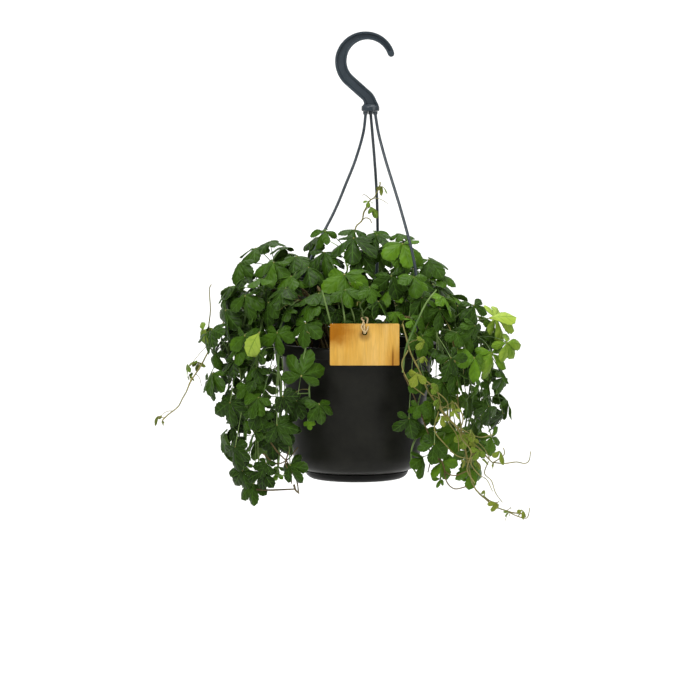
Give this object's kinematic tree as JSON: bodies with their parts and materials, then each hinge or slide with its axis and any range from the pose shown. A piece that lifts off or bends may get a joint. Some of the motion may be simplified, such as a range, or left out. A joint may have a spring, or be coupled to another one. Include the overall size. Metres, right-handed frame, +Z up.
{
  "type": "potted miniature grape ivy in a hanging pot",
  "caption": "Trailing vine with five-part toothed leaves in a round plastic hanging pot, with a hook, stiff strands, a drip tray and a plain wooden tag.",
  "frame": {"origin": "the hook's seat: the highest point of the inside of its bow, midway through its thickness, from which the pot hangs", "axes": "+Z up, the hanging direction reversed; +X to the right and -Y towards the viewer of the picture, the side with the tag"},
  "size_m": [0.3721, 0.2378, 0.4802],
  "materials": {
    "pot": "moulded polypropylene, charcoal, glossy",
    "tray": "moulded polypropylene, near black, glossy",
    "hanger": "moulded polypropylene, blue grey, satin",
    "soil": "damp peat potting soil",
    "tag": "thin sawn softwood, stained honey brown",
    "twine": "twisted jute twine",
    "leaf": "living leaf, waxy, mid to dark green",
    "young_leaf": "young leaf and stem, yellow green"
  },
  "bodies": {
    "root": {"hanger_hook": "hanger", "pot": "pot", "drip_tray": "tray", "soil": "soil", "hanger_strand_left": "hanger", "hanger_strand_back": "hanger", "hanger_strand_right": "hanger", "tag": "tag", "tag_tie": "twine", "vine_front_tag": "leaf", "vine_front_left": "leaf", "vine_left_1": "leaf", "vine_left_2": "leaf", "vine_left_3": "leaf", "vine_left_4": "leaf", "vine_left_5": "leaf", "vine_back_left_1": "leaf", "vine_back_left_2": "leaf", "vine_back_1": "leaf", "vine_back_2": "leaf", "vine_back_3": "leaf", "vine_back_4": "leaf", "vine_back_right_1": "leaf", "vine_back_right_2": "leaf", "vine_right_1": "leaf", "vine_right_2": "leaf", "vine_right_3": "leaf", "vine_right_4": "leaf", "vine_right_5": "leaf", "vine_front_right": "leaf", "vine_top_front": "leaf", "vine_top_centre": "leaf", "vine_top_left": "leaf", "vine_top_far_left": "leaf", "vine_top_right": "leaf", "vine_top_far_right": "leaf", "vine_top_back": "leaf", "vine_top_back_left": "leaf", "vine_top_back_right": "leaf", "shoot_left": "young_leaf", "shoot_top": "young_leaf", "shoot_right": "young_leaf", "shoot_low": "young_leaf"}
  },
  "joints": []
}
